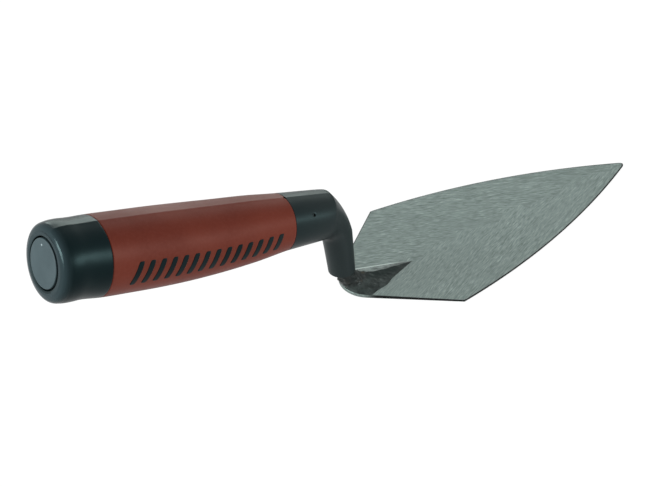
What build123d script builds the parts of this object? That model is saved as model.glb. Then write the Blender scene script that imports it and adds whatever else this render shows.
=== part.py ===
"""Pointing trowel: a forged steel blade with its shank and tang, in a two-plastic handle.

Millimetres. The blade lies flat with its underside on z = 0, and its point is towards +X.
The origin is on the underside, at the centre of the rounded heel. The handle lies in the
plane y = 0 and rises towards its butt at -X. Handle stations are distances from the butt
face along the handle's own axis.
"""

import os
from math import acos, atan2, cos, hypot, radians, sin, tan

from build123d import *

os.makedirs("parts", exist_ok=True)

# ---------------------------------------------------------------- driving dimensions
# Blade, seen from above
blade_length = 127.0  # heel end to point, 5 in
blade_width = 63.5  # across the two side corners, 2 1/2 in
heel_to_corners = 32.4  # heel end to the line through the side corners
heel_radius = 11.8  # round end of the heel
side_bow = 4.9  # how far each long edge bulges past a straight line
corner_radius = 0.6
point_radius = 1.2
point_rounded_off = 1.3  # the long edges would meet this far past the point

# Blade, ground thinner away from the heel and away from the centreline
heel_thickness = 1.4
point_thickness = 0.6
corner_thickness = 0.6

# Forged boss where the shank grows out of the blade
boss_height = 3.8  # above the blade's top, at the shank
boss_length = 28.0  # from the shank's axis to the boss's tip
boss_half_width = 9.4  # beside the shank
boss_flare_radius = 10.0  # round foot behind and beside the shank
boss_flare_hollow = 0.8
foot_radius = 4.6  # shank's waist at the top of that round foot

# Shank and tang
shank_radius = 3.6
shank_behind_heel_centre = 9.6  # shank axis on the underside, measured back from the origin
shank_lean = 8.0  # degrees from upright, towards the handle
elbow_height = 37.9  # where the shank's axis meets the handle's axis
bend_radius = 10.0
elbow_to_tang = 14.0  # round shank beyond the elbow, before the flat tang
tang_length = 44.0
tang_width = 5.6
tang_height = 6.4
tang_taper = 1.6  # degrees a side
notch_count = 3
notch_pitch = 9.0
notch_radius = 1.0

# Handle outline: radius at stations along its axis
handle_tilt = 15.2  # degrees, rising towards the butt
handle_length = 115.6  # butt face to the nose's top corner
nose_before_elbow = 3.0  # top corner to the elbow, along the axis
butt_radius = 14.9
butt_shoulder = 4.5  # round edge of the butt
rear_seam = 19.0
rear_seam_radius = 14.7
belly_station = 43.0
belly_radius = 14.35
taper_station = 70.0
taper_radius = 13.1
front_seam = 96.6
front_seam_radius = 10.45
nose_radius = 9.15

# Neck: the nose turns down into a sleeve round the shank
neck_bow = 1.5  # bulge of the neck's front between nose corner and sleeve
neck_top_height = 28.2  # where the neck's front meets the sleeve
neck_top_reach = 7.5  # how far behind the origin that place is
neck_inner_radius = 6.0  # round under the handle, behind the shank
sleeve_radius = 4.85
sleeve_top_radius = 5.35
sleeve_end_height = 9.8  # the sleeve's lip, above the underside
sleeve_wall_behind = 0.85  # how much thicker the sleeve is behind the shank than round it
neck_sections = 5

# Grip skin and the core's ribs that show through it
skin_thickness = 2.0
rib_count = 14
rib_start = 29.0
rib_pitch = 4.6
rib_width = 2.2
rib_slant = 18.0  # degrees from square to the handle
rib_height_rear = 9.2
rib_height_front = 6.2

# Hollow core, closed by the plug
cavity_radius = 8.6
cavity_before_tang = 3.0  # plastic left between the cavity's end and the tang's tip
seat_radius = 9.6
seat_depth = 2.4
plug_gap = 0.45  # open ring round the plug's head
skirt_wall = 1.3
skirt_length = 8.0
skirt_clearance = 0.1
bead_height = 0.35
bead_before_end = 1.2  # snap bead, measured back from the skirt's end
plug_edge = 0.3
pin_hole_radius = 0.6
pin_hole_depth = 3.0
pin_hole_before_nose = 10.6
pin_hole_rise = 38.0  # degrees above the handle's side

# ---------------------------------------------------------------- places worked out from them
heel_end = -heel_radius
point_x = heel_end + blade_length
edges_meet_x = point_x + point_rounded_off
corner_x = heel_end + heel_to_corners
corner_y = blade_width / 2
shank_foot_x = -shank_behind_heel_centre

elbow = Vector(shank_foot_x - elbow_height * tan(radians(shank_lean)), 0, elbow_height)
forward = Vector(cos(radians(handle_tilt)), 0, -sin(radians(handle_tilt)))  # along the handle
upward = Vector(sin(radians(handle_tilt)), 0, cos(radians(handle_tilt)))  # square to it
butt_centre = elbow - forward * (handle_length + nose_before_elbow)
shank_foot = Vector(shank_foot_x, 0, 0)
tang_start = elbow - forward * elbow_to_tang
tang_tip_station = handle_length + nose_before_elbow - elbow_to_tang - tang_length
cavity_end = tang_tip_station - cavity_before_tang
cavity_cone = cavity_radius / 2  # length of the cavity's pointed end

handle_plane = Plane(butt_centre, x_dir=forward, z_dir=(0, -1, 0))  # x along, y square to the axis
handle_axis = Axis(butt_centre, forward)


def square_to_handle(station):
    """Plane square to the handle's axis at a station, facing the blade."""
    return Plane(butt_centre + forward * station, x_dir=(0, 1, 0), z_dir=forward)


def on_handle(station, height):
    """Point of the plane y = 0, given along and square to the handle's axis."""
    return butt_centre + forward * station + upward * height


def turned_handle(inset):
    """Handle turned about its axis from butt to front seam, its surface sunk by inset."""
    with BuildPart() as turned:
        with BuildSketch(handle_plane):
            with BuildLine():
                Spline(
                    (butt_shoulder, butt_radius - inset),
                    (rear_seam, rear_seam_radius - inset),
                    (belly_station, belly_radius - inset),
                    (taper_station, taper_radius - inset),
                    (front_seam, front_seam_radius - inset),
                )
                CenterArc((butt_shoulder, butt_radius - inset - butt_shoulder), butt_shoulder, 90, 90)
                Polyline(
                    (0, butt_radius - inset - butt_shoulder),
                    (0, 0),
                    (front_seam, 0),
                    (front_seam, front_seam_radius - inset),
                )
            make_face()
        revolve(axis=handle_axis)
    return turned


# ---------------------------------------------------------------- shank and tang
shank_route = FilletPolyline(shank_foot, elbow, tang_start, radius=bend_radius)

with BuildPart() as shank:
    with BuildSketch(Plane(shank_foot, z_dir=shank_route % 0)):
        Circle(shank_radius)
    sweep(path=shank_route)
    # The tang narrows from the shank's end towards the butt.
    with BuildSketch(Plane(tang_start, x_dir=(0, 1, 0), z_dir=-forward)):
        Rectangle(tang_width, tang_height)
    extrude(amount=tang_length, taper=tang_taper)
    # Notches across the tang's two edges let the plastic lock on.
    for number in range(notch_count):
        notch_centre = tang_start - forward * (tang_length / 2 + (number - 1) * notch_pitch)
        for side in (-1, 1):
            with BuildSketch(Plane(notch_centre + upward * (side * tang_height / 2), z_dir=(0, 1, 0))):
                Circle(notch_radius)
            extrude(amount=tang_width, both=True, mode=Mode.SUBTRACT)

# ---------------------------------------------------------------- blade forging
# The heel's straight edges leave its round end at a tangent and run to the side corners.
corner_distance = hypot(corner_x, corner_y)
tangent_angle = atan2(corner_y, corner_x) + acos(heel_radius / corner_distance)
tangent_point = (heel_radius * cos(tangent_angle), heel_radius * sin(tangent_angle))

with BuildSketch() as blade_outline:
    with BuildLine():
        RadiusArc((heel_end, 0), tangent_point, heel_radius)
        Line(tangent_point, (corner_x, corner_y))
        SagittaArc((corner_x, corner_y), (edges_meet_x, 0), side_bow)
        Line((edges_meet_x, 0), (heel_end, 0))
    make_face()
    mirror(about=Plane.XZ)
    fillet(blade_outline.vertices().group_by(Axis.Y)[0], corner_radius)
    fillet(blade_outline.vertices().group_by(Axis.Y)[-1], corner_radius)
    fillet(blade_outline.vertices().group_by(Axis.X)[-1], point_radius)


def roof_plane(ridge_start, ridge_end, eave):
    """Plane through a ridge line and one point beside it, facing up."""
    slope = (ridge_end - ridge_start).cross(eave - ridge_start)
    if slope.Z < 0:
        slope = -slope
    return Plane(ridge_start, z_dir=slope)


def blade_top(x, y):
    """Point of the ground top: two planes that meet on the centreline."""
    fall_ahead = (heel_thickness - point_thickness) / blade_length
    ridge_at_corners = heel_thickness - fall_ahead * heel_to_corners
    fall_aside = (ridge_at_corners - corner_thickness) / corner_y
    return Vector(x, y, heel_thickness - fall_ahead * (x - heel_end) - fall_aside * abs(y))


boss_top = heel_thickness + boss_height
boss_tip_x = shank_foot_x + boss_length
boss_side_x = shank_foot_x + shank_radius

with BuildPart() as blade:
    add(blade_outline.sketch)
    extrude(amount=heel_thickness)
    for side in (-1, 1):
        corner_top = blade_top(corner_x, side * corner_y)
        ground = roof_plane(blade_top(heel_end, 0), blade_top(point_x, 0), corner_top)
        split(bisect_by=ground, keep=Keep.BOTTOM)

with BuildPart() as boss:
    # Two facets fall from a crest ahead of the shank to the blade's top.
    with BuildSketch():
        add(blade_outline.sketch)
        with Locations((shank_foot_x + boss_length / 2, 0)):
            Rectangle(boss_length, blade_width, mode=Mode.INTERSECT)
    extrude(amount=boss_top)
    for side in (-1, 1):
        crest = Vector(shank_foot_x, 0, boss_top)
        facet = roof_plane(crest, blade_top(boss_tip_x, 0), blade_top(boss_side_x, side * boss_half_width))
        split(bisect_by=facet, keep=Keep.BOTTOM)

with BuildPart() as boss_foot:
    # A hollow flare joins the shank to the heel behind and beside it.
    with BuildSketch(Plane(shank_foot, x_dir=(1, 0, 0), z_dir=(0, -1, 0))):
        with BuildLine():
            flare_top = (foot_radius, boss_top)
            flare_end = (boss_flare_radius, heel_thickness)
            SagittaArc(flare_top, flare_end, -boss_flare_hollow)
            Polyline(flare_end, (boss_flare_radius, 0), (0, 0), (0, flare_top[1]), flare_top)
        make_face()
    revolve(axis=Axis(shank_foot, (0, 0, 1)))
    with BuildSketch():
        add(blade_outline.sketch)
    extrude(amount=boss_top, mode=Mode.INTERSECT)

with BuildPart() as blade_forging:
    add(blade.part)
    add(boss.part)
    add(boss_foot.part)
    add(shank.part)
    with Locations((0, 0, -blade_width / 2)):
        Box(2 * blade_length, blade_width, blade_width, mode=Mode.SUBTRACT)

# ---------------------------------------------------------------- grip skin
outer_handle = turned_handle(inset=0)
skin_bed = turned_handle(inset=skin_thickness)

with BuildPart() as key_ribs:
    for number in range(rib_count):
        share = number / (rib_count - 1)
        height = rib_height_rear + share * (rib_height_front - rib_height_rear)
        lean = height / 2 * tan(radians(rib_slant))
        station = rib_start + number * rib_pitch
        with BuildSketch(handle_plane):
            with BuildLine():
                Polyline(
                    (station - lean - rib_width / 2, -height / 2),
                    (station - lean + rib_width / 2, -height / 2),
                    (station + lean + rib_width / 2, height / 2),
                    (station + lean - rib_width / 2, height / 2),
                    close=True,
                )
            make_face()
        extrude(amount=butt_radius, both=True)

with BuildPart() as grip_skin:
    with BuildSketch(square_to_handle(rear_seam)):
        Circle(butt_radius)
    extrude(amount=front_seam - rear_seam)
    add(outer_handle.part, mode=Mode.INTERSECT)
    add(skin_bed.part, mode=Mode.SUBTRACT)
    add(key_ribs.part, mode=Mode.SUBTRACT)

# ---------------------------------------------------------------- handle core
nose_corner = on_handle(handle_length, nose_radius)
neck_front = Vector(-neck_top_reach, 0, neck_top_height)
sleeve_end_x = shank_foot_x - sleeve_end_height * tan(radians(shank_lean)) - sleeve_wall_behind
sleeve_end = Vector(sleeve_end_x, 0, sleeve_end_height)

# The line under the handle and the line behind the shank meet at an inner corner.
under_start = on_handle(front_seam, -front_seam_radius)
under_end = on_handle(handle_length, -nose_radius)
rear_low = sleeve_end - Vector(sleeve_radius, 0, 0)
rear_high = neck_front - Vector(2 * sleeve_top_radius, 0, 0)
with BuildLine() as neck_inner:
    under_line = (under_end - under_start).normalized()
    rear_line = (rear_high - rear_low).normalized()
    across = (rear_low - under_start).X * rear_line.Z - (rear_low - under_start).Z * rear_line.X
    reach = across / (under_line.X * rear_line.Z - under_line.Z * rear_line.X)
    inner_corner = under_start + under_line * reach
    FilletPolyline(under_start, inner_corner, rear_low, radius=neck_inner_radius)
inner_arc = neck_inner.edges().filter_by(GeomType.CIRCLE)[0]

with BuildLine(Plane.XZ) as neck_outer:
    SagittaArc((nose_corner.X, nose_corner.Z), (neck_front.X, neck_front.Z), neck_bow)
outer_arc = neck_outer.edges()[0]


def ring_plane(outer, inner):
    """Plane whose circle has the two points of y = 0 as the ends of a diameter."""
    across_ring = outer - inner
    return Plane(inner + across_ring / 2, x_dir=(0, 1, 0), z_dir=Vector(0, 1, 0).cross(across_ring))


def half_disc(radius):
    """Half disc on the side of local +X."""
    with BuildSketch() as half:
        with BuildLine():
            CenterArc((0, 0), radius, -90, 180)
            Line((0, radius), (0, -radius))
        make_face()
    return half.sketch


neck_start = ring_plane(outer_arc @ 0, inner_arc @ 0)
neck_start_radius = (outer_arc @ 0 - inner_arc @ 0).length / 2
neck_end = ring_plane(outer_arc @ 1, inner_arc @ 1)
neck_end_radius = (outer_arc @ 1 - inner_arc @ 1).length / 2

with BuildPart() as neck:
    # The nose runs on from the front seam to the top corner.
    with BuildSketch(square_to_handle(front_seam)):
        add(half_disc(front_seam_radius))
    with BuildSketch(neck_start):
        add(half_disc(neck_start_radius))
    loft()
    # The neck turns down, each round section spanning its front and its back.
    for number in range(neck_sections):
        share = number / (neck_sections - 1)
        outer = outer_arc @ share
        inner = inner_arc @ share
        with BuildSketch(ring_plane(outer, inner)):
            add(half_disc((outer - inner).length / 2))
    loft()
    # The sleeve narrows to its lip.
    with BuildSketch(neck_end):
        add(half_disc(neck_end_radius))
    with BuildSketch(Plane(sleeve_end, x_dir=(0, 1, 0), z_dir=(0, 0, -1))):
        add(half_disc(sleeve_radius))
    loft()
    mirror(about=Plane.XZ)

with BuildPart() as handle_core:
    add(outer_handle.part)
    add(grip_skin.part, mode=Mode.SUBTRACT)
    add(neck.part)
    add(shank.part, mode=Mode.SUBTRACT)

    # Seat and cavity behind the plug, with a groove for its snap bead.
    with BuildSketch(handle_plane):
        with BuildLine():
            Polyline(
                (0, 0),
                (0, seat_radius),
                (seat_depth, seat_radius),
                (seat_depth, cavity_radius),
                (cavity_end - cavity_cone, cavity_radius),
                (cavity_end, 0),
                close=True,
            )
        make_face()
        with Locations((seat_depth + skirt_length - bead_before_end, cavity_radius)):
            Circle(bead_height + skirt_clearance)
    revolve(axis=handle_axis, mode=Mode.SUBTRACT)

    # Two small holes that the mould's locating pins leave beside the nose.
    for side in (-1, 1):
        rise = radians(pin_hole_rise)
        outwards = Vector(0, side * cos(rise), 0) + upward * sin(rise)
        mouth = butt_centre + forward * (handle_length - pin_hole_before_nose) + outwards * butt_radius
        with BuildSketch(Plane(mouth, z_dir=-outwards)):
            Circle(pin_hole_radius)
        extrude(amount=butt_radius - nose_radius + pin_hole_depth, mode=Mode.SUBTRACT)

# ---------------------------------------------------------------- butt plug
head_radius = seat_radius - plug_gap
skirt_radius = cavity_radius - skirt_clearance

with BuildPart() as butt_plug:
    with BuildSketch(square_to_handle(0)):
        Circle(head_radius)
    extrude(amount=seat_depth)
    fillet(butt_plug.edges().group_by(handle_axis)[0], plug_edge)
    with BuildSketch(square_to_handle(seat_depth)):
        Circle(skirt_radius)
        Circle(skirt_radius - skirt_wall, mode=Mode.SUBTRACT)
    extrude(amount=skirt_length)
    with BuildSketch(handle_plane):
        with Locations((seat_depth + skirt_length - bead_before_end, skirt_radius)):
            Circle(bead_height)
    revolve(axis=handle_axis)

# ---------------------------------------------------------------- the finished pieces
blade_forging.part.label = "blade_forging"
export_step(blade_forging.part, "parts/blade_forging.step")

grip_skin.part.label = "grip_skin"
export_step(grip_skin.part, "parts/grip_skin.step")

handle_core.part.label = "handle_core"
export_step(handle_core.part, "parts/handle_core.step")

butt_plug.part.label = "butt_plug"
export_step(butt_plug.part, "parts/butt_plug.step")
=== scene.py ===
# %% [markdown]
# # A pointing trowel, dressed in Blender
# The trowel has four real pieces: a steel forging (blade, boss, shank and tang), a hard black
# handle core moulded round the tang, a soft red skin moulded over the core, and a grey plug
# that closes the hollow butt. The solids were made beforehand and are loaded as a fixed frame.
# This lesson gives each piece a finished surface. Lengths are in millimetres until a mesh is
# made, because a tool maker thinks in millimetres; the mesh helper turns them into metres.

# %% Load the frame
from math import cos, pi, radians, sin

import bmesh
import bpy
import numpy as np
from mathutils import Matrix, Vector


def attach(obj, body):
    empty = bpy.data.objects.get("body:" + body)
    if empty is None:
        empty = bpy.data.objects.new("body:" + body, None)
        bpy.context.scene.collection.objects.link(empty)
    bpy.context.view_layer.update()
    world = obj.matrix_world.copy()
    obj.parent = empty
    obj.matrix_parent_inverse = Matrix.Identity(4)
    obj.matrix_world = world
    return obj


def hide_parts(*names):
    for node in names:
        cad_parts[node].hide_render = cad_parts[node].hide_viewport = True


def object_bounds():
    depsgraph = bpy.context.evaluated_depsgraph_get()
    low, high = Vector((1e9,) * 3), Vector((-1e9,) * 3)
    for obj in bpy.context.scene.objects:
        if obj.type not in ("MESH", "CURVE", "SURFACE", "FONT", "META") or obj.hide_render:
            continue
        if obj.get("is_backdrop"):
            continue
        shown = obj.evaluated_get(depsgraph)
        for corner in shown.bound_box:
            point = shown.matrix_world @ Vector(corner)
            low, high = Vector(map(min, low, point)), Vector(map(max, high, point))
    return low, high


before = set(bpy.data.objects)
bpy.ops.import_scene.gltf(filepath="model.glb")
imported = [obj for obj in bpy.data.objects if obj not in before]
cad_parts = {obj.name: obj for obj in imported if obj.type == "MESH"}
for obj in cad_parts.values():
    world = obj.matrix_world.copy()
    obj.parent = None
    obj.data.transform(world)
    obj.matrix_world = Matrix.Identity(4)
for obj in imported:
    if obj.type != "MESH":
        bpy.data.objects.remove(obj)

MM = 0.001
cad_low, cad_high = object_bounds()
print("solids:", sorted(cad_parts), "box in mm:", [round(c / MM, 1) for c in (*cad_low, *cad_high)])

# %% [markdown]
# ## One helper for every skin
# Every piece here is a surface of two parameters: one runs along the piece and the other runs
# round it. Such a surface could be spun, lofted or sculpted by hand. A grid of points worked
# out with numpy is chosen instead, because the formula stays readable and the first and last
# ring can be closed to a single point, so the skin is watertight. The helper also measures the
# volume that the faces enclose: if it comes out negative the faces point inwards, and it turns
# them round.

# %% Skin helper
TURN_SHARP = radians(38)  # edges that bend more than this are shaded as creases


def closed_grid(rings, first_point, last_point):
    """Vertices and faces of a closed skin. rings[i, j] is the point j steps round ring i.

    Quads join each ring to the next. A fan of triangles joins an end ring to its end point;
    with no end points, the end rings are folded flat on themselves and only need welding.
    """
    count, around = rings.shape[:2]
    points = rings.reshape(-1, 3)
    here = np.arange(around)
    beside = (here + 1) % around
    start = (np.arange(count - 1) * around)[:, None]
    quads = np.stack([start + here, start + beside, start + around + beside, start + around + here], axis=-1)
    if first_point is None:
        return points, quads.reshape(-1, 4), np.empty((0, 3), int)
    points = np.vstack([points, first_point, last_point])
    end = (count - 1) * around
    first = np.stack([beside, here, np.full(around, count * around)], axis=-1)
    last = np.stack([end + here, end + beside, np.full(around, count * around + 1)], axis=-1)
    return points, quads.reshape(-1, 4), np.vstack([first, last])


def enclosed_volume(points, quads, triangles):
    """Sum over all triangles of a . (b x c) / 6, which is the volume inside a closed skin."""
    halves = np.vstack([quads[:, [0, 1, 2]], quads[:, [0, 2, 3]], triangles])
    a, b, c = (points[halves[:, k]] for k in range(3))
    return float(np.einsum("ij,ij->i", a, np.cross(b, c)).sum() / 6)


def make_piece(name, skins, material, node=None, weld=0.0):
    """One object from closed skins given in millimetres, riding on the root body."""
    points, faces, base, volume = [], [], 0, 0.0
    for rings, first_point, last_point in skins:
        p, q, t = closed_grid(np.asarray(rings, float), first_point, last_point)
        v = enclosed_volume(p, q, t)
        if v < 0:
            q, t = q[:, ::-1], t[:, ::-1]
        points.append(p)
        faces += (q + base).tolist() + (t + base).tolist()
        base += len(p)
        volume += abs(v)
    mesh = bpy.data.meshes.new(name)
    mesh.from_pydata((np.vstack(points) * MM).tolist(), [], faces)
    if weld:
        loose = bmesh.new()
        loose.from_mesh(mesh)
        bmesh.ops.remove_doubles(loose, verts=loose.verts, dist=weld * MM)
        loose.to_mesh(mesh)
        loose.free()
    mesh.validate()
    mesh.shade_smooth()
    mesh.set_sharp_from_angle(angle=TURN_SHARP)
    mesh.materials.append(material)
    piece = bpy.data.objects.new(name, mesh)
    bpy.context.scene.collection.objects.link(piece)
    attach(piece, "root")
    if node:
        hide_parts(node)
    print(name, "-", len(mesh.polygons), "faces,", round(volume / 1000, 2), "cm3")
    return piece


# %% Curve and noise helpers
def smooth_through(x, knots, values):
    """Smooth curve through (knot, value) pairs.

    Between two knots it is a cubic whose slope at each knot is the slope of the line that
    joins the two neighbours.
    """
    knots, values = np.asarray(knots, float), np.asarray(values, float)
    slopes = np.gradient(values, knots)
    x = np.asarray(x, float)
    i = np.clip(np.searchsorted(knots, x, side="right") - 1, 0, len(knots) - 2)
    width = knots[i + 1] - knots[i]
    t = np.clip((x - knots[i]) / width, 0, 1)
    return (
        (1 + 2 * t) * (1 - t) ** 2 * values[i]
        + t * (1 - t) ** 2 * width * slopes[i]
        + t * t * (3 - 2 * t) * values[i + 1]
        - t * t * (1 - t) * width * slopes[i + 1]
    )


def ripple(points, wavelength, seed, waves=14):
    """Gentle uneven relief in -1..1: a mean of sine waves in seeded directions and phases."""
    random = np.random.default_rng(seed)
    directions = random.normal(size=(waves, 3))
    directions /= np.linalg.norm(directions, axis=1)[:, None]
    lengths = wavelength * random.uniform(0.6, 1.6, waves)
    phases = random.uniform(0, 2 * pi, waves)
    total = np.sin(points @ (directions / lengths[:, None] * 2 * pi).T + phases).sum(axis=-1)
    return total / np.sqrt(waves)


sample_points = np.random.default_rng(1).uniform(0, 50, (500, 3))
print("helpers ready; the ripple's spread is", round(float(ripple(sample_points, 5, 2).std()), 2))

# %% [markdown]
# ## Node helper
# All finishes are procedural: noise and ramps on Object coordinates, which are the same for
# every piece here because each mesh is built in its final place. A tiny helper adds a node and
# sets its values, which keeps each material short enough to read as a recipe.


# %% Material helper
class Recipe:
    """A new material with its shader and a short way to add and join nodes."""

    def __init__(self, name, **shader_values):
        self.material = bpy.data.materials.new(name)
        self.material.use_nodes = True
        self.tree = self.material.node_tree
        self.shader = self.tree.nodes["Principled BSDF"]
        for key, value in shader_values.items():
            self.shader.inputs[key.replace("_", " ")].default_value = value
        self.place = self.add("ShaderNodeTexCoord").outputs["Object"]

    def add(self, kind, inputs=None, **settings):
        node = self.tree.nodes.new(kind)
        for key, value in settings.items():
            setattr(node, key, value)
        for key, value in (inputs or {}).items():
            if isinstance(value, bpy.types.NodeSocket):
                self.tree.links.new(value, node.inputs[key])
            else:
                node.inputs[key].default_value = value
        return node

    def join(self, output, socket):
        self.tree.links.new(output, socket)

    def math(self, operation, a, b=0.0, clamp=False):
        return self.add("ShaderNodeMath", {0: a, 1: b}, operation=operation, use_clamp=clamp).outputs[0]

    def noise(self, place, scale, detail=2.0, roughness=0.5):
        """Noise value in 0..1; scale is in repeats per metre."""
        inputs = {"Vector": place, "Scale": scale, "Detail": detail, "Roughness": roughness}
        return self.add("ShaderNodeTexNoise", inputs).outputs["Fac"]

    def ramp(self, value, low, high, out_low=0.0, out_high=1.0):
        inputs = {"Value": value, "From Min": low, "From Max": high, "To Min": out_low, "To Max": out_high}
        return self.add("ShaderNodeMapRange", inputs, interpolation_type="SMOOTHSTEP").outputs["Result"]

    def mix(self, factor, a, b):
        """Colour mix; a and b are sockets or (r, g, b)."""
        node = self.add("ShaderNodeMix", data_type="RGBA")
        for index, value in ((0, factor), (6, a), (7, b)):
            if isinstance(value, bpy.types.NodeSocket):
                self.join(value, node.inputs[index])
            else:
                node.inputs[index].default_value = value if index == 0 else (*value, 1)
        return node.outputs[2]

    def turned(self, place, angle, scale):
        """Coordinates turned about Z, then stretched."""
        turn = {"Vector": place, "Rotation": (0, 0, angle)}
        node = self.add("ShaderNodeMapping", turn, vector_type="POINT")
        stretch = self.add("ShaderNodeVectorMath", {0: node.outputs[0], 1: scale}, operation="MULTIPLY")
        return stretch.outputs[0]

    def relief(self, height, strength, depth):
        """Bump from a height value, onto the shader's normal; depth in mm."""
        bump = self.add("ShaderNodeBump", {"Height": height, "Strength": strength, "Distance": depth * MM})
        self.join(bump.outputs[0], self.shader.inputs["Normal"])


# %% [markdown]
# ## Blade plate
# The blade is ground thinner towards its point and its two side corners, so its top is two
# planes that meet on the centreline, and its underside is flat. It could be an extruded
# outline with its top cut, but that leaves long thin triangles that shade badly. Here rings
# shrink from the outline to the centreline instead: the top, the rim with its two tiny
# bevels, and the underside are then one grid.

# %% Blade outline
heel_radius, heel_to_corner, blade_length, half_width = 11.8, 32.4, 127.0, 31.75
side_bow, corner_round, point_round, edges_meet = 4.9, 0.6, 1.6, 1.25
corner = np.array([heel_to_corner - heel_radius, half_width])
tip = np.array([blade_length - heel_radius + edges_meet, 0.0])  # where the long edges would meet


def arc_between(a, b, bow, count):
    """Points of the arc from a to b that bulges by bow to the left of the line a-b.

    Radius = (half chord squared + bow squared) / (2 bow); the arc is swept at an even pace.
    """
    a, b = np.asarray(a, float), np.asarray(b, float)
    half = np.linalg.norm(b - a) / 2
    radius = (half**2 + bow**2) / (2 * bow)
    along = (b - a) / (2 * half)
    left = np.array([-along[1], along[0]])
    centre = (a + b) / 2 - left * (radius - bow)
    sweep = np.arcsin(half / radius) * np.linspace(-1, 1, count)
    return centre + radius * (np.sin(sweep)[:, None] * along + np.cos(sweep)[:, None] * left)


def round_corner(before, at, after, radius, count=7):
    """Short curve that rounds a corner: a quadratic curve pulled towards the corner point."""
    before, at, after = (np.asarray(p, float) for p in (before, at, after))
    inward = (before - at) / np.linalg.norm(before - at)
    outward = (after - at) / np.linalg.norm(after - at)
    half_angle = np.arccos(np.clip(inward @ outward, -1, 1)) / 2
    reach = radius / np.tan(half_angle)
    t = np.linspace(0, 1, count)[:, None]
    return (1 - t) ** 2 * (at + inward * reach) + 2 * t * (1 - t) * at + t**2 * (at + outward * reach)


corner_direction = np.arctan2(corner[1], corner[0]) + np.arccos(heel_radius / np.hypot(*corner))
tangent = heel_radius * np.array([cos(corner_direction), sin(corner_direction)])
heel_angles = np.linspace(pi, corner_direction, 40)
heel_arc = heel_radius * np.stack([np.cos(heel_angles), np.sin(heel_angles)], axis=-1)
straight = tangent + np.linspace(0, 1, 22)[1:-1, None] * (corner - tangent)
long_edge = arc_between(tip, corner, -side_bow, 121)[::-1]
at_corner = round_corner(straight[-1], corner, long_edge[1], corner_round)
at_tip = round_corner(long_edge[-2], tip, long_edge[-2] * (1, -1), point_round, 15)[:8]
clear_of = lambda pts, spot, gap: pts[np.linalg.norm(pts - spot, axis=1) > gap]
half_outline = np.vstack(
    [
        heel_arc,
        clear_of(straight, corner, 1.2),
        at_corner,
        clear_of(clear_of(long_edge, corner, 1.2), tip, np.linalg.norm(at_tip[0] - tip) + 0.3),
        at_tip,
    ]
)
outline = np.vstack([half_outline, half_outline[-2:0:-1] * (1, -1)])
steps = np.roll(outline, -1, axis=0) - np.roll(outline, 1, axis=0)
outward = np.stack([-steps[:, 1], steps[:, 0]], axis=-1) / np.linalg.norm(steps, axis=1)[:, None]
print("blade outline:", len(outline), "points,", np.round(np.ptp(outline, axis=0), 1), "mm")

# %% Blade rings
heel_thickness, point_thickness, corner_thickness = 1.4, 0.6, 0.6
fall_ahead = (heel_thickness - point_thickness) / blade_length
fall_aside = (heel_thickness - fall_ahead * heel_to_corner - corner_thickness) / half_width


def blade_top(x, y):
    """Height of the ground top: falls evenly ahead of the heel and to both sides."""
    return heel_thickness - fall_ahead * (x + heel_radius) - fall_aside * np.abs(y)


def centreline_of(points):
    """For each outline point, the point of the centreline that its ring lines run to."""
    share = (points[:, 0] + heel_radius) / blade_length
    return np.stack([-heel_radius + 5 + share * (blade_length - 8), np.zeros(len(points))], axis=-1)


edge_bevel = 0.14
# Painted shade: the rim, and this much of the top beside it, are painted nearly black, except round the
# heel.
rim_shade_width = 0.29  # this much of the top beside the rim is left dark, with the rim itself
inner_edge = outline - outward * edge_bevel
middle = centreline_of(outline)
rings = []
for share in np.linspace(0, 1, 34) ** 0.8:  # top, from the centreline out
    flat = middle + share * (inner_edge - middle)
    rings.append(np.column_stack([flat, blade_top(*flat.T)]))
for inset in (rim_shade_width + 0.11, rim_shade_width):
    flat = outline - outward * inset
    rings.insert(-1, np.column_stack([flat, blade_top(*flat.T)]))
quarter = [(1 - np.sin(turn), 1 - np.cos(turn)) for turn in radians(1) * np.array([22.5, 45, 67.5, 90])]
for inset, drop in quarter:
    flat = outline - outward * inset * edge_bevel
    rings.append(np.column_stack([flat, blade_top(*inner_edge.T) - drop * edge_bevel]))
for inset, rise in [(0.0, 1.0), *((a, b) for b, a in quarter[:3]), (1.0, 0.0)]:
    flat = outline - outward * inset * edge_bevel
    rings.append(np.column_stack([flat, np.full(len(flat), rise * edge_bevel)]))
for share in (0.66, 0.33, 0.0):  # underside, back to the centreline
    flat = middle + share * (inner_edge - middle)
    rings.append(np.column_stack([flat, np.zeros(len(flat))]))
rings = np.array(rings)
print("blade rings:", rings.shape)

# %% [markdown]
# ## Ground steel
# The blade is ground on a belt after hardening. Short wavy strokes cover it: on the left half
# they slant one way and on the right half the other, and both run together towards the
# point. The metal is grey rather than mirror-bright, because the strokes scatter the light.
# A painted picture could show that, but noise stretched along the stroke direction does it
# at any size, and it drives colour, roughness and a very fine relief together.


# %% Where the boss stands
shank_foot = np.array([-9.6, 0.0])
boss_tip = np.array([17.2, -2.4])  # the belt took more off the left side than off the right
left_end, right_end = np.array([-6.0, 6.9]), np.array([-6.0, -10.3])


def edge_facing(end):
    """Unit normal, in plan, of the boss's straight edge from its tip to the given end."""
    line = end - boss_tip
    normal = np.array([line[1], -line[0]]) / np.linalg.norm(line)
    return normal * np.sign(normal[0])


left_normal, right_normal = edge_facing(left_end), edge_facing(right_end)
print("the boss's edges face", np.round(left_normal, 2), "and", np.round(right_normal, 2))


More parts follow.
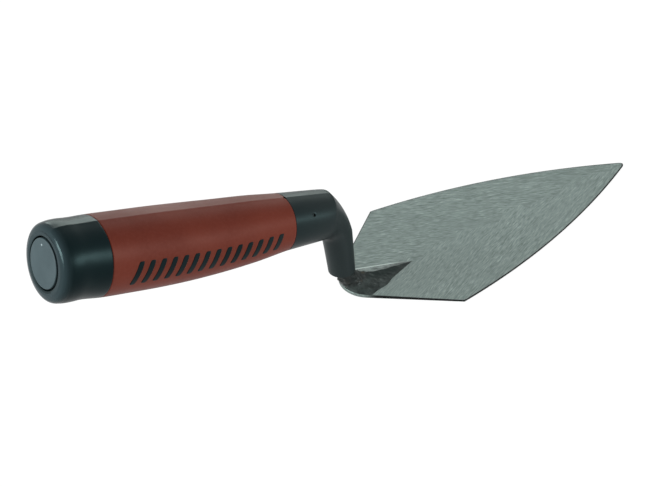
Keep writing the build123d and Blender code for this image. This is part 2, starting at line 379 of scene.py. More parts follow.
# %% Ground steel material
def ground_steel():
    """Grey steel: each half has its own slanted strokes, which drive tone, roughness and relief; painted
    light and shade lie on the two planes, the rim and the boss's far edge.
    """
    steel = Recipe("ground_steel", Metallic=0.75, Roughness=0.48, Specular_IOR_Level=0.4)
    wobble = steel.math("SUBTRACT", steel.noise(steel.place, 110, 2), 0.5)
    wobble = steel.math("MULTIPLY", wobble, 0.0016)
    shifted = steel.add("ShaderNodeCombineXYZ", {"Y": wobble}).outputs[0]
    place = steel.add("ShaderNodeVectorMath", {0: steel.place, 1: shifted}, operation="ADD").outputs[0]
    halves = []
    for side in (1, -1):
        fine = steel.turned(place, side * radians(25), (0.42, 2.6, 1.0))
        long = steel.turned(place, side * radians(25), (0.20, 1.5, 1.0))
        short_strokes = steel.math("MULTIPLY", steel.noise(fine, 1000, 2, 0.5), 0.6)
        long_strokes = steel.math("MULTIPLY", steel.noise(long, 1000, 2, 0.5), 0.4)
        halves.append(steel.math("ADD", short_strokes, long_strokes))
    parts = steel.add("ShaderNodeSeparateXYZ", {0: steel.place})
    ragged = steel.math("MULTIPLY", steel.math("SUBTRACT", steel.noise(steel.place, 160, 3), 0.5), 0.022)
    which = steel.ramp(steel.math("ADD", parts.outputs["Y"], ragged), -0.002, 0.002)
    on_right = steel.math("SUBTRACT", 1.0, which)
    left_strokes = steel.math("MULTIPLY", halves[0], which)
    right_strokes = steel.math("MULTIPLY", halves[1], on_right)
    strokes = steel.math("ADD", left_strokes, right_strokes)
    tone = steel.mix(steel.ramp(strokes, 0.39, 0.61), (0.103, 0.127, 0.118), (0.160, 0.191, 0.180))
    tone = steel.mix(steel.ramp(strokes, 0.57, 0.69, 0.0, 0.7), tone, (0.25, 0.30, 0.285))
    tone = steel.mix(steel.ramp(strokes, 0.44, 0.34, 0.0, 0.8), tone, (0.065, 0.088, 0.080))
    cloud = steel.ramp(steel.noise(steel.place, 38, 3), 0.35, 0.7, 0.0, 0.4)
    tone = steel.mix(cloud, tone, (0.116, 0.142, 0.135))
    tone = steel.mix(steel.ramp(parts.outputs["X"], 0.070, 0.112, 0.0, 0.13), tone, (0.05, 0.066, 0.061))
    # Painted light and shade: the left plane is painted a little darker and the right plane a little
    # lighter, as the light falls on them.
    tone = steel.mix(steel.math("MULTIPLY", which, 0.08), tone, (0.04, 0.05, 0.047))
    tone = steel.mix(steel.math("MULTIPLY", on_right, 0.08), tone, (0.30, 0.35, 0.33))
    # A narrow painted highlight lies on the blade along the boss's far edge.
    edge_way = (float(left_normal[0]), float(left_normal[1]), 0.0)
    edge_start = float(left_normal @ boss_tip) * MM
    past_edge = steel.add("ShaderNodeVectorMath", {0: steel.place, 1: edge_way}, operation="DOT_PRODUCT")
    off_edge = steel.math("SUBTRACT", past_edge.outputs["Value"], edge_start)
    highlight_starts = steel.ramp(off_edge, -0.0004, 0.0, 0, 1)
    highlight_ends = steel.ramp(off_edge, 0.0002, 0.0008, 1, 0)
    line = steel.math("MULTIPLY", highlight_starts, highlight_ends)
    line = steel.math("MULTIPLY", line, steel.ramp(parts.outputs["X"], 0.008, 0.016, 0.7, 0.0))
    tone = steel.mix(line, tone, (0.38, 0.42, 0.40))
    # Painted shade along the rim, read from the mesh attribute.
    rim = steel.add("ShaderNodeAttribute", attribute_name="painted_rim_shade").outputs["Fac"]
    tone = steel.mix(rim, tone, (0.004, 0.005, 0.005))
    steel.join(tone, steel.shader.inputs["Base Color"])
    steel.join(steel.ramp(strokes, 0.35, 0.65, 0.54, 0.44), steel.shader.inputs["Roughness"])
    steel.relief(strokes, 0.32, 0.035)
    return steel.material


blade_skin = (rings, None, None)
blade = make_piece("blade_plate", [blade_skin], ground_steel(), "blade_forging", weld=0.001)
spots = np.empty(len(blade.data.vertices) * 3)
blade.data.vertices.foreach_get("co", spots)
spots = spots.reshape(-1, 3) / MM
from_rim = np.linalg.norm(spots[:, None, :2] - outline[None], axis=-1).min(axis=1)
above_underside = spots[:, 2] > 0.02
ahead_of_heel = np.clip((spots[:, 0] + 8.0) / 3.0, 0, 1)
# Painted shade: the rim and the strip of top beside it are marked dark, except round the heel.
dark = (from_rim < rim_shade_width + 0.01) * above_underside * ahead_of_heel
blade.data.attributes.new("painted_rim_shade", "FLOAT", "POINT").data.foreach_set("value", dark)

# %% [markdown]
# ## Boss and shank
# The shank and the blade are one forging. Round its foot the steel swells into a boss: two
# flat facets fall from a crest to a long tip ahead of the shank, and a rough flare joins them
# to the round shank. Forging leaves dark uneven scale here, because the belt can't reach it.
# It could be sculpted, but one surface round the shank's axis does it: the first parameter
# goes from the edge of the boss up the shank, and the second goes round. Where each facet
# ends is a straight line in plan, so the distance to that line gives the edge of the boss.

# %% Boss and shank surface
shank_radius, shank_lean = 3.6, radians(8.0)
crest_height, flare_height = 1.9, 4.0
around = np.linspace(-1, 1, 281)[:-1]
around = pi * np.sign(around) * np.abs(around) ** 1.5  # closer together towards the boss's tip
tip_angle = np.arctan2(boss_tip[1], boss_tip[0] - shank_foot[0])
around = around + tip_angle
facing = np.stack([np.cos(around), np.sin(around)], axis=-1)


def reach(normal):
    """Distance from the shank's axis to a straight edge, in each direction round the shank."""
    toward = facing @ normal
    return np.where(toward > 0.02, normal @ (boss_tip - shank_foot) / np.maximum(toward, 0.02), 99.0)


to_facet_edge = np.minimum(reach(left_normal), reach(right_normal))
inside_heel = heel_radius - 0.3
across_heel = np.sqrt(inside_heel**2 - (shank_foot[0] * facing[:, 1]) ** 2)
to_heel_edge = -shank_foot[0] * facing[:, 0] + across_heel
boss_edge = np.where(facing[:, 0] > 0.5, to_facet_edge, np.minimum(to_facet_edge, to_heel_edge))
boss_edge = boss_edge + 0.95 * np.exp(-(((around + 0.61) / 0.17) ** 2))  # the right edge bellies out

up_the_boss = np.linspace(0, 1, 46)[:, None] ** 0.75  # 0 at the boss's edge, 1 at the shank
distance = boss_edge + (shank_radius - boss_edge) * up_the_boss
plan_x = shank_foot[0] + distance * facing[:, 0]
plan_y = distance * facing[:, 1]
rise = crest_height * up_the_boss + flare_height * up_the_boss**6
height = blade_top(plan_x, plan_y) + rise
plan_x = plan_x - (height - heel_thickness) * np.tan(shank_lean) * up_the_boss**3
boss_rings = np.stack([plan_x, plan_y, height], axis=-1)
scale_relief = 0.07 * ripple(boss_rings, 3.2, 11) + 0.035 * ripple(boss_rings, 1.1, 12)
settled = np.clip(up_the_boss * 5, 0, 1)
boss_rings[..., 2] += scale_relief * settled
lumps = 0.22 * ripple(boss_rings, 2.0, 13) * np.clip(up_the_boss * 4 - 2.2, 0, 1)
boss_rings[..., :2] += lumps[..., None] * facing

foot_height, shank_top = 0.6, 13.6  # the skin starts inside the blade and ends inside the sleeve
buried = boss_rings[:1] * (1, 1, 0) + (0, 0, foot_height)
shank_heights = np.linspace(0.35, 6.6, 14)[:, None]
above = boss_rings[-1:, :, 2] + shank_heights * (shank_top - boss_rings[-1:, :, 2]) / 6.6
shank_rings = np.stack(
    [
        shank_foot[0] - (above - heel_thickness) * np.tan(shank_lean) + shank_radius * facing[:, 0],
        np.broadcast_to(shank_radius * facing[:, 1], above.shape),
        above,
    ],
    axis=-1,
)
shank_rings[..., :2] += 0.10 * (ripple(shank_rings, 2.4, 14))[..., None] * facing
forging_rings = np.vstack([buried, boss_rings, shank_rings])
print("boss and shank rings:", forging_rings.shape)


# %% Forge scale material
def forge_scale():
    """Dark oxide, nearly black at the foot; painted light makes the left facet paler and painted shade
    darkens the crest's right side.
    """
    scale = Recipe("forge_scale", Metallic=0.2, Roughness=0.5, Specular_IOR_Level=0.15)
    coarse = scale.noise(scale.place, 420, 4, 0.65)
    fine = scale.noise(scale.place, 1900, 2, 0.6)
    painted_facet_light_shade = scale.add("ShaderNodeAttribute", attribute_name="painted_facet_light_shade").outputs["Fac"]
    foot = scale.add("ShaderNodeAttribute", attribute_name="near_shank").outputs["Fac"]
    tone = scale.mix(scale.ramp(coarse, 0.35, 0.68), (0.0125, 0.0160, 0.0150), (0.0310, 0.0380, 0.0360))
    tone = scale.mix(scale.ramp(fine, 0.64, 0.76, 0, 0.5), tone, (0.10, 0.118, 0.112))
    # Painted light on the facets: this paler tone goes on the left facet; painted shade darkens the crest's
    # right side below.
    pale = scale.mix(scale.ramp(coarse, 0.35, 0.68), (0.027, 0.037, 0.034), (0.054, 0.069, 0.064))
    tone = scale.mix(scale.ramp(painted_facet_light_shade, 0.0, 1.0), tone, pale)
    tone = scale.mix(scale.ramp(painted_facet_light_shade, 0.0, -1.0), tone, (0.010, 0.015, 0.014))
    brown = scale.ramp(scale.noise(scale.place, 260, 2), 0.55, 0.72, 0, 0.45)
    tone = scale.mix(scale.math("MULTIPLY", foot, 0.85), tone, (0.010, 0.0115, 0.0112))
    tone = scale.mix(scale.math("MULTIPLY", brown, foot), tone, (0.046, 0.035, 0.022))
    scale.join(tone, scale.shader.inputs["Base Color"])
    scale.join(scale.ramp(coarse, 0.3, 0.7, 0.50, 0.34), scale.shader.inputs["Roughness"])
    scale.relief(scale.math("ADD", coarse, scale.math("MULTIPLY", fine, 0.4)), 0.5, 0.08)
    return scale.material


shank_end = (shank_foot[0] - 11.6 * np.tan(shank_lean), 0, shank_top)
forging_skin = (forging_rings, (*shank_foot, foot_height), shank_end)
forging = make_piece("boss_and_shank", [forging_skin], forge_scale(), "blade_forging")
near_shank = np.ones(forging_rings.shape[:2])
near_shank[: 1 + len(boss_rings)] = np.clip((np.vstack([[[0.0]], up_the_boss]) - 0.66) / 0.16, 0, 1)
# Above 0 the left facet gets painted light and is paler, and below 0 the crest's right side gets painted
# shade and is nearly black.
off_crest = around - tip_angle
painted_facet_light_shade = np.zeros(forging_rings.shape[:2])
band = np.exp(-(((up_the_boss - 0.45) / 0.38) ** 4))
painted_light_left = np.exp(-(((off_crest - 0.34) / 0.24) ** 2))
painted_shade_right = -0.9 * np.exp(-(((off_crest + 0.10) / 0.20) ** 2))
painted_facet_light_shade[1 : 1 + len(boss_rings)] = band * np.where(off_crest > 0, painted_light_left, painted_shade_right)
for name, values in (("near_shank", near_shank), ("painted_facet_light_shade", painted_facet_light_shade)):
    values = np.concatenate([values.ravel(), [0, float(name == "near_shank")]])
    forging.data.attributes.new(name, "FLOAT", "POINT").data.foreach_set("value", values)

# %% [markdown]
# ## Handle form
# The handle is moulded, and its section isn't a plain circle: it swells to a rim behind, has a
# slight waist, a belly for the palm and a taper to the nose. Its middle dips a little below
# the straight axis, and along the top runs a low ridge where the two mould halves are
# flattened towards their parting line. One function holds all that, and the core, the skin
# and the marks all use it, so they fit each other. Stations run from the butt to the nose.

# %% Handle form
tilt = radians(15.2)
forward = np.array([cos(tilt), 0, -sin(tilt)])
upward = np.array([sin(tilt), 0, cos(tilt)])
sideways = np.array([0.0, -1.0, 0.0])  # the side with y below zero
handle_length, nose_before_elbow, elbow_height = 115.6, 3.0, 37.9
elbow = np.array([shank_foot[0] - elbow_height * np.tan(shank_lean), 0, elbow_height])
butt_centre = elbow - forward * (handle_length + nose_before_elbow)

shoulder = ((0.0, 11.40), (0.35, 12.70), (0.9, 13.55), (1.8, 14.12), (3.2, 14.44), (6.5, 14.68))
waist_and_belly = ((11.0, 14.48), (19.0, 14.74), (31.0, 14.66), (43.0, 14.50), (56.0, 14.02))
taper = ((70.0, 13.18), (84.0, 12.08), (96.6, 10.60), (handle_length, 9.15))
outline_stations, outline_radii = np.transpose(shoulder + waist_and_belly + taper)
lift_stations = (0.0, 10.0, 20.0, 32.0, 45.0, 58.0, 70.0, 82.0, 96.6)
lifts = (0.42, 0.55, 0.10, -0.30, -0.66, -0.88, -0.86, -0.56, -0.07)
flat_depth, flat_reach = 0.033, 1.05  # the top is flattened this much, this far round (radians)
ridge_dip, ridge_spread = 0.19, 0.22


def handle_radius(station):
    return smooth_through(station, outline_stations, outline_radii)


def handle_lift(station):
    """How far the section's centre stands above the straight axis, in mm."""
    return smooth_through(station, lift_stations, lifts)


def ridge(angle):
    """Radius factor: the top is flattened, with a low roof whose crest is the top line."""
    off_top = np.abs((angle + pi) % (2 * pi) - pi)
    flattened = flat_depth * np.clip(1 - (off_top / flat_reach) ** 2, 0, 1) ** 2
    return 1 - flattened - ridge_dip * off_top * np.exp(-off_top / ridge_spread)


def on_handle(station, angle, inset=0.0):
    """Point of the handle's surface. Angle 0 is the top line, and it grows towards y below zero."""
    station, angle, inset = np.broadcast_arrays(np.asarray(station, float), angle, inset)
    radius = handle_radius(station) * ridge(angle) - inset
    high = handle_lift(station) + radius * np.cos(angle)
    wide = radius * np.sin(angle)
    across = high[..., None] * upward + wide[..., None] * sideways
    return butt_centre + station[..., None] * forward + across


round_angles = np.linspace(0, 2 * pi, 241)[:-1]
print("belly is", round(2 * float(handle_radius(43.0)), 1), "mm thick")

# %% [markdown]
# ## Handle core
# The black core shows at both ends. Behind, it has a round seat for the plug, a flat rim and a
# rounded shoulder. In front it turns down into a neck and a thin sleeve round the shank. A
# subdivided cage could give the bend, but each ring of the neck is simply a circle that spans
# two guide lines, one along the front and one behind, so the whole core stays one grid from
# the seat to the sleeve's lip. Under the red skin it sinks by the skin's thickness.

# %% Neck guide lines
seam_rear, seam_front, skin_depth = 19.0, 96.6, 1.0


def spot(station, height):
    """Point of the plane y = 0, along and square to the handle's axis."""
    return (butt_centre + station * forward + height * upward)[[0, 2]]


nose_corner = spot(handle_length, 9.15)
seam_radius, seam_lift = float(handle_radius(seam_front)), float(handle_lift(seam_front))
top_seam = spot(seam_front, seam_lift + seam_radius)
under_seam = spot(seam_front, seam_lift - seam_radius)
under_nose = spot(handle_length, -9.15)
neck_front = np.array([-7.5, 28.2])
lip_centre = np.array([-11.98, 9.8])
lip_radius = 5.0
lip_front, lip_rear = lip_centre + (lip_radius, 0), lip_centre - (lip_radius, 0)
rear_high = neck_front - (11.35, 0)


def crossing(a, b, c, d):
    """Where the line through a and b meets the line through c and d."""
    along, other = b - a, d - c
    cross = along[0] * other[1] - along[1] * other[0]
    share = ((c - a)[0] * other[1] - (c - a)[1] * other[0]) / cross
    return a + share * along


inner_corner = crossing(under_seam, under_nose, lip_rear, rear_high)
inner_bend = round_corner(under_seam, inner_corner, lip_rear, 5.0, 41)
neck_bulge = arc_between(nose_corner, neck_front, 1.05, 61)
corner_bend = round_corner(top_seam, nose_corner, neck_bulge[4], 0.6, 13)


def along_line(table, share):
    """Point at a share of the length of a line given by its points."""
    step = np.linalg.norm(np.diff(table, axis=0), axis=1)
    done = np.concatenate([[0], np.cumsum(step)]) / step.sum()
    return np.stack([np.interp(share, done, table[:, k]) for k in (0, 1)], axis=-1)


front_of_corner = np.vstack([top_seam, corner_bend[:7]])
past_corner = np.vstack([corner_bend[6:], neck_bulge[5:]])
nose_shares, sleeve_shares = np.linspace(0, 1, 76), np.linspace(0, 1, 26)
bend_shares = np.linspace(0, 1, 90) ** 1.3  # closer together at the nose's corner
front_line = np.vstack(
    [
        along_line(front_of_corner, nose_shares),
        along_line(past_corner, bend_shares)[1:],
        along_line(np.vstack([neck_front, lip_front]), sleeve_shares)[1:],
    ]
)
rear_line = np.vstack(
    [
        along_line(np.vstack([under_seam, inner_bend[0]]), nose_shares),
        along_line(inner_bend, bend_shares)[1:],
        along_line(np.vstack([inner_bend[-1], lip_rear]), sleeve_shares)[1:],
    ]
)
print("neck guide lines:", front_line.shape, "inner corner at", np.round(inner_corner, 1))

# %% Core rings
seat_radius, seat_depth = 9.6, 2.4


def flat_ring(station, radius):
    """Round ring square to the handle's axis."""
    high = radius * np.cos(round_angles) + float(handle_lift(0.0))
    wide = radius * np.sin(round_angles)
    return butt_centre + station * forward + high[:, None] * upward + wide[:, None] * sideways


def span_ring(front, rear, ridged):
    """Circle square to y = 0 whose diameter runs from the front guide to the rear guide."""
    middle, half = (front + rear) / 2, (front - rear) / 2
    size = np.linalg.norm(half)
    factor = 1 + ridged * (ridge(round_angles)[:, None] - 1)
    plan = middle + np.cos(round_angles)[:, None] * half * factor
    side = -np.sin(round_angles)[:, None] * size * factor
    return np.column_stack([plan[:, 0], side, plan[:, 1]])


seat = [flat_ring(seat_depth, r) for r in (3.0, 6.0, 9.0, seat_radius)]
seat += [flat_ring(s, seat_radius) for s in (1.6, 0.9, 0.45, 0.22)]
seat += [flat_ring(0.08, seat_radius + 0.07), flat_ring(0.0, seat_radius + 0.22)]
seat += [flat_ring(0.0, r) for r in (10.2, 10.7, 11.1)]
near_rim = np.linspace(0, 1, 22) ** 2 * 6.5
shoulder_stations = np.concatenate([near_rim, np.linspace(6.9, seam_rear - 0.35, 30)])
cap = [on_handle(s, round_angles) for s in shoulder_stations]
cap += [on_handle(seam_rear - 0.15, round_angles, 0.05), on_handle(seam_rear - 0.03, round_angles, 0.22)]
bed = [on_handle(s, round_angles, skin_depth) for s in np.linspace(seam_rear, seam_front, 60)]
past_nose = np.arange(len(front_line)) - (len(nose_shares) - 1)
ridged = np.clip(1 - past_nose / 5, 0, 1)
nose_rings = np.array([span_ring(f, r, k) for f, r, k in zip(front_line, rear_line, ridged)])
easing_passes = 300  # each pass draws every ring towards its two neighbours
eased = nose_rings.copy()
for _ in range(easing_passes):
    eased[1:-1] = 0.25 * eased[:-2] + 0.5 * eased[1:-1] + 0.25 * eased[2:]
from_top = np.abs((round_angles + pi) % (2 * pi) - pi)
crisp = np.clip(np.cos(from_top), 0, 1) ** 1.5
nose_rings = eased + crisp[:, None] * (nose_rings - eased)
pin_station, pin_angle, pin_radius, pin_depth = handle_length - 10.6, radians(52), 0.42, 0.9
for angle in (pin_angle, -pin_angle):  # one small blind hole on each side
    away_from_pin = np.linalg.norm(nose_rings - on_handle(pin_station, angle, 0.0), axis=-1)
    outwards = cos(angle) * upward + sin(angle) * sideways
    nose_rings -= (pin_depth / (1 + (away_from_pin / pin_radius) ** 8))[..., None] * outwards
edge_in = nose_rings[0] + 0.02 * (nose_rings[0].mean(axis=0) - nose_rings[0])
lip_bore = 3.5  # the lip closes on the shank, just inside its skin
inside_x = lip_centre[0] + 0.4 + lip_bore * np.cos(round_angles)
inside_z = np.full(len(round_angles), lip_centre[1] + 0.15)
lip_inside = np.column_stack([inside_x, -lip_bore * np.sin(round_angles), inside_z])
core_rings = np.array([*seat, *cap, *bed, edge_in, *nose_rings, lip_inside])
print("core rings:", core_rings.shape)


# %% Black plastic material
def black_plastic():
    """Satin black, with a soft uneven sheen from the mould; painted light makes the neck and the glossy rim
    greyer.
    """
    cool = (0.66, 0.98, 1.0, 1)
    plastic = Recipe("black_plastic", Roughness=0.36, Specular_IOR_Level=0.077, Specular_Tint=cool)
    broad = plastic.noise(plastic.place, 60, 3, 0.5)
    fine = plastic.noise(plastic.place, 1500, 2, 0.5)
    along = plastic.add("ShaderNodeSeparateXYZ", {0: plastic.place}).outputs["X"]
    tone = plastic.mix(plastic.ramp(broad, 0.3, 0.7), (0.0010, 0.0038, 0.0046), (0.0028, 0.0066, 0.0074))
    # Painted light: towards the front, the neck and sleeve are painted greyer, where light falls on them.
    tone = plastic.mix(plastic.ramp(along, -0.060, -0.012), tone, (0.0135, 0.0165, 0.0170))
    rim_gloss_painted_light = plastic.add("ShaderNodeAttribute", attribute_name="rim_gloss_painted_light").outputs["Fac"]
    # Painted light: the rim and shoulder are painted a paler grey; below, their roughness is also lowered so
    # they are glossier.
    tone = plastic.mix(rim_gloss_painted_light, tone, (0.0125, 0.0195, 0.0220))
    plastic.join(tone, plastic.shader.inputs["Base Color"])
    satin = plastic.ramp(broad, 0.3, 0.7, 0.40, 0.32)
    satin = plastic.math("SUBTRACT", satin, plastic.math("MULTIPLY", rim_gloss_painted_light, 0.16))
    plastic.join(satin, plastic.shader.inputs["Roughness"])
    plastic.relief(plastic.math("ADD", fine, plastic.math("MULTIPLY", broad, 1.5)), 0.18, 0.04)
    return plastic.material


core_material = black_plastic()
core = make_piece(
    "core_surface",
    [(core_rings, flat_ring(seat_depth, 0.0)[0], (lip_centre[0] + 0.4, 0, lip_centre[1] + 0.6))],
    core_material,
    "handle_core",
)

spots = np.empty(len(core.data.vertices) * 3)
core.data.vertices.foreach_get("co", spots)
from_butt = spots.reshape(-1, 3) / MM - butt_centre
along = from_butt @ forward
off_axis = np.linalg.norm(from_butt - along[:, None] * forward, axis=-1)
# The rim's shoulder: a glossier finish there, and painted light in its colour.
rim_gloss_painted_light = np.clip((3.4 - along) / 2.4, 0, 1) * (off_axis > seat_radius + 0.3)
core.data.attributes.new("rim_gloss_painted_light", "FLOAT", "POINT").data.foreach_set("value", rim_gloss_painted_light)

# %% [markdown]
# ## Key ribs
# Ribs of the core come up through windows in the skin, so that the skin can't turn or creep
# on the core. They show as a row of slanted black bars on both sides. Each bar is a small
# rounded slab laid on the handle's form: its outline is carried down into the core and its
# top is drawn in a little at the edge.

# %% Key ribs
rib_count, rib_start, rib_pitch, rib_width, rib_slant = 14, 29.0, 4.6, 2.2, radians(18)
rib_high_rear, rib_high_front, rib_proud = 9.2, 6.2, 0.16
loop = np.linspace(0, 2 * pi, 41)[:-1]
squircle = np.stack([np.cos(loop), np.sin(loop)], axis=-1)
squircle /= (np.abs(squircle) ** 6).sum(axis=-1, keepdims=True) ** (1 / 6)


def rib_skin(number, side):
    """Closed skin of one bar: rings of a slanted rounded rectangle, from its foot to its top.

    The first and the last ring are folded onto the bar's middle line, so the top follows the
    handle's curve all the way across.
    """
    high = rib_high_rear + (rib_high_front - rib_high_rear) * number / (rib_count - 1)
    top = -rib_proud
    foot_rings = ((None, 1.2), (0, 1.2), (0, 0.3), (0, top + 0.08))
    top_rings = ((0.09, top), (0.4, top), (0.8, top), (None, top))
    skin = []
    for inset, depth in foot_rings + top_rings:
        across = squircle[:, 0] * (0.0 if inset is None else rib_width / 2 - inset)
        up = squircle[:, 1] * (high / 2 - (0.9 if inset is None else inset))
        station = rib_start + number * rib_pitch + across + up * np.tan(rib_slant)
        angle = side * (pi / 2 - up / handle_radius(station))
        skin.append(on_handle(station, angle, depth))
    return np.array(skin), None, None


make_piece(
    "key_ribs",
    [rib_skin(number, side) for number in range(rib_count) for side in (1, -1)],
    core_material,
    "handle_core",
    weld=0.0005,
)

# %% [markdown]
# ## Red skin
# The skin is a soft rubber-like plastic moulded over the bed. It is flush with the black ends,
# and only a fine dark groove shows at each seam. Its outside follows the handle's form, its
# two ends are rounded over by a few tenths, and its inside lies on the bed.

# %% Red skin surface
lead = np.array([0.02, 0.10, 0.22, 0.40])
rounding = np.array([0.24, 0.10, 0.03, 0.0])
between_seams = np.linspace(seam_rear + 0.8, seam_front - 0.8, 110)
skin_stations = np.concatenate([seam_rear + lead, between_seams, (seam_front - lead)[::-1]])
skin_insets = np.concatenate([rounding, np.zeros(len(between_seams)), rounding[::-1]])
notch = 0.8 * np.exp(-((from_top / 0.05) ** 2))  # on top the front seam runs back to a small point
outer_rings = []
for s, inset in zip(skin_stations, skin_insets):
    share = np.clip((s - (seam_front - 8)) / 8, 0, 1)
    outer_rings.append(on_handle(s - notch * share, round_angles, inset))
inner_stations = (seam_front - 1.5, 78.0, 58.0, 38.0, seam_rear + 0.02)
inner_rings = [on_handle(s, round_angles, skin_depth) for s in inner_stations]
skin_rings = np.array(outer_rings + inner_rings + outer_rings[:1])
print("skin rings:", skin_rings.shape)


# %% Red soft plastic material
def red_soft_plastic():
    """Brick red, satin and finely mottled, with a sheen that keeps some of the red."""
    warm = (1.0, 0.62, 0.55, 1)
    soft = Recipe("red_soft_plastic", Roughness=0.45, Specular_IOR_Level=0.09, Specular_Tint=warm)
    broad = soft.noise(soft.place, 45, 3, 0.5)
    fine = soft.noise(soft.place, 900, 3, 0.6)
    tone = soft.mix(soft.ramp(broad, 0.3, 0.7), (0.078, 0.0136, 0.0080), (0.094, 0.0176, 0.0106))
    tone = soft.mix(soft.ramp(fine, 0.35, 0.75, 0.0, 0.35), tone, (0.103, 0.0235, 0.0155))
    soft.join(tone, soft.shader.inputs["Base Color"])
    soft.join(soft.ramp(broad, 0.3, 0.7, 0.54, 0.46), soft.shader.inputs["Roughness"])
    soft.relief(fine, 0.25, 0.05)
    return soft.material


red_skin = (skin_rings, None, None)
make_piece("grip_surface", [red_skin], red_soft_plastic(), "grip_skin", weld=0.0005)

# %% [markdown]
# ## Butt plug
# A grey disc closes the hollow butt. It is a separate moulding, so a narrow open ring shows
# round it, its edge is slightly rounded, and near its top a small pip is left where the
# plastic was fed into the mould.

# %% Butt plug
plug_radius, pip_radius, plug_proud = 8.95, 6.1, 0.33
face_reach = np.linspace(0.25, 8.55, 44)
plug_reach = np.concatenate([face_reach, [8.73, 8.86, 8.93, plug_radius, plug_radius]])
edge_drop = [0.02, 0.09, 0.19, 0.36, seat_depth + plug_proud]
plug_station = np.concatenate([np.zeros(len(face_reach)), edge_drop]) - plug_proud
pip = butt_centre - plug_proud * forward + (pip_radius + handle_lift(0.0)) * upward - 2.5 * sideways
plug_rings = np.array([flat_ring(s, r) for s, r in zip(plug_station, plug_reach)])
near_pip = np.exp(-(np.linalg.norm(plug_rings - pip, axis=-1) / 0.42) ** 4)
plug_rings -= (0.16 * near_pip)[..., None] * forward


def grey_plastic():
    """Slate grey, satin, nearly even."""
    grey = Recipe("grey_plastic", Roughness=0.42, Specular_IOR_Level=0.15)
    broad = grey.noise(grey.place, 110, 3, 0.5)
    fine = grey.noise(grey.place, 1400, 2, 0.5)
    tone = grey.mix(grey.ramp(broad, 0.3, 0.7), (0.0190, 0.0310, 0.0350), (0.0245, 0.0380, 0.0425))
    pip_mark = grey.add("ShaderNodeAttribute", attribute_name="pip").outputs["Fac"]
    tone = grey.mix(pip_mark, tone, (0.19, 0.22, 0.23))
    grey.join(tone, grey.shader.inputs["Base Color"])
    grey.join(grey.ramp(broad, 0.3, 0.7, 0.50, 0.40), grey.shader.inputs["Roughness"])
    grey.relief(fine, 0.15, 0.03)
    return grey.material


plug = make_piece(
    "plug_surface",
    [(plug_rings, flat_ring(-plug_proud, 0.0)[0], flat_ring(seat_depth, 0.0)[0])],
    grey_plastic(),
    "butt_plug",
)
on_pip = np.clip((near_pip - 0.45) / 0.3, 0, 1)
plug.data.attributes.new("pip", "FLOAT", "POINT").data.foreach_set("value", [*on_pip.ravel(), 0, 0])

# %% [markdown]
# ## Stage, light and camera
# The trowel lies on a pale floor in an even white room. The floor and the sky look pure white
# to the camera and in reflections, but they light the object at a plain level, so colours
# come out about as they are written. A wide, low lamp beyond the blade gives the top of the
# handle its pale strip, one to the left lights the butt and the edge of its rim, and a
# smaller one to the right keeps the near side readable.


# %% Floor and world
def seen_directly(tree):
    """1 for rays from the camera, off gloss or through glass, and 0 for the rest."""
    path = tree.nodes.new("ShaderNodeLightPath")
    value = path.outputs["Is Camera Ray"]
    for name in ("Is Glossy Ray", "Is Transmission Ray"):
        more = tree.nodes.new("ShaderNodeMath")
        more.operation = "MAXIMUM"
        tree.links.new(value, more.inputs[0])
        tree.links.new(path.outputs[name], more.inputs[1])
        value = more.outputs[0]
    return value


floor_paint = Recipe("floor_paint", Base_Color=(0.8, 0.8, 0.8, 1), Roughness=0.9, Specular_IOR_Level=0.0)
glow = floor_paint.add("ShaderNodeEmission", {"Color": (1, 1, 1, 1), "Strength": 1.03})
share = floor_paint.math("MULTIPLY", seen_directly(floor_paint.tree), 0.93)
matt = floor_paint.shader.outputs[0]
blend = floor_paint.add("ShaderNodeMixShader", {0: share, 1: matt, 2: glow.outputs[0]})
floor_paint.join(blend.outputs[0], floor_paint.tree.nodes["Material Output"].inputs["Surface"])
floor_mesh = bpy.data.meshes.new("floor")
span = 6.0
floor_corners = [(-span, -span, 0), (span, -span, 0), (span, span, 0), (-span, span, 0)]
floor_mesh.from_pydata(floor_corners, [], [(0, 1, 2, 3)])
floor_mesh.materials.append(floor_paint.material)
floor = bpy.data.objects.new("floor", floor_mesh)
floor.location.z = -0.0004
bpy.context.scene.collection.objects.link(floor)
floor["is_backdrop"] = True

world = bpy.data.worlds.new("white_room")
bpy.context.scene.world = world
world.use_nodes = True
background = world.node_tree.nodes["Background"]
background.inputs["Color"].default_value = (1, 1, 1, 1)
room_level = 0.45
strength = world.node_tree.nodes.new("ShaderNodeMapRange")
strength.inputs["To Min"].default_value = room_level
strength.inputs["To Max"].default_value = 1.0
world.node_tree.links.new(seen_directly(world.node_tree), strength.inputs["Value"])
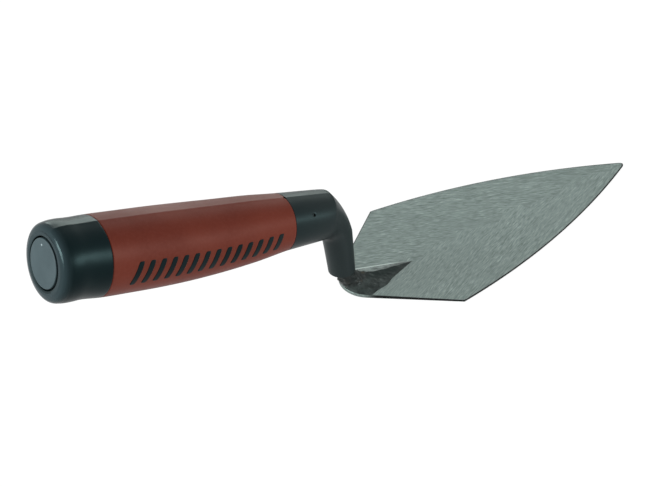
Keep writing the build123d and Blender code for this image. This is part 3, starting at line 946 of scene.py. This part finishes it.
world.node_tree.links.new(strength.outputs[0], background.inputs["Strength"])


# %% Lamps
def lamp(name, place, aim, size, power, colour=(1, 1, 1)):
    light = bpy.data.lights.new(name, "AREA")
    light.shape = "RECTANGLE"
    light.size, light.size_y = size
    light.energy = power
    light.color = colour
    holder = bpy.data.objects.new(name, light)
    holder.location = place
    holder.visible_camera = False
    holder.rotation_euler = (Vector(aim) - Vector(place)).to_track_quat("-Z", "Y").to_euler()
    bpy.context.scene.collection.objects.link(holder)
    return holder


lamp("lamp_behind", (0.62, 0.90, 0.22), (-0.07, 0, 0.04), (1.1, 0.24), 6.0, (0.86, 1.0, 0.95))
lamp("lamp_left", (-1.00, 0.26, 0.38), (-0.13, 0, 0.06), (0.50, 0.44), 22.0, (0.92, 1.0, 1.0))
lamp("lamp_right", (0.44, -0.70, 0.37), (-0.09, 0, 0.05), (0.40, 0.30), 9.0, (0.88, 1.0, 1.0))


# %% Camera
azimuth, elevation, roll, away = radians(-30.22), radians(39.54), radians(-3.33), 1.2148
target = np.array([-2.62, 24.56, 0.8]) * MM
level = np.array([cos(azimuth), sin(azimuth), 0])
back = np.array([sin(azimuth) * cos(elevation), -cos(azimuth) * cos(elevation), sin(elevation)])
lifted = np.cross(back, level)
right = cos(roll) * level + sin(roll) * lifted
top = -sin(roll) * level + cos(roll) * lifted
camera_data = bpy.data.cameras.new("camera")
camera_data.sensor_width, camera_data.lens = 36.0, 178.1
camera = bpy.data.objects.new("camera", camera_data)
pose = np.eye(4)
pose[:3, 0], pose[:3, 1], pose[:3, 2], pose[:3, 3] = right, top, back, target + away * back
camera.matrix_world = Matrix(pose.tolist())
bpy.context.scene.collection.objects.link(camera)
bpy.context.scene.camera = camera
bpy.context.scene.view_settings.view_transform = "Standard"
print("camera at", np.round(pose[:3, 3], 4))

# %% Sizes and finish
seen_low, seen_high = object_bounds()
room = np.subtract((*seen_low, *cad_high), (*cad_low, *seen_high)) / MM
print("room inside the box, in mm:", np.round(room, 2))
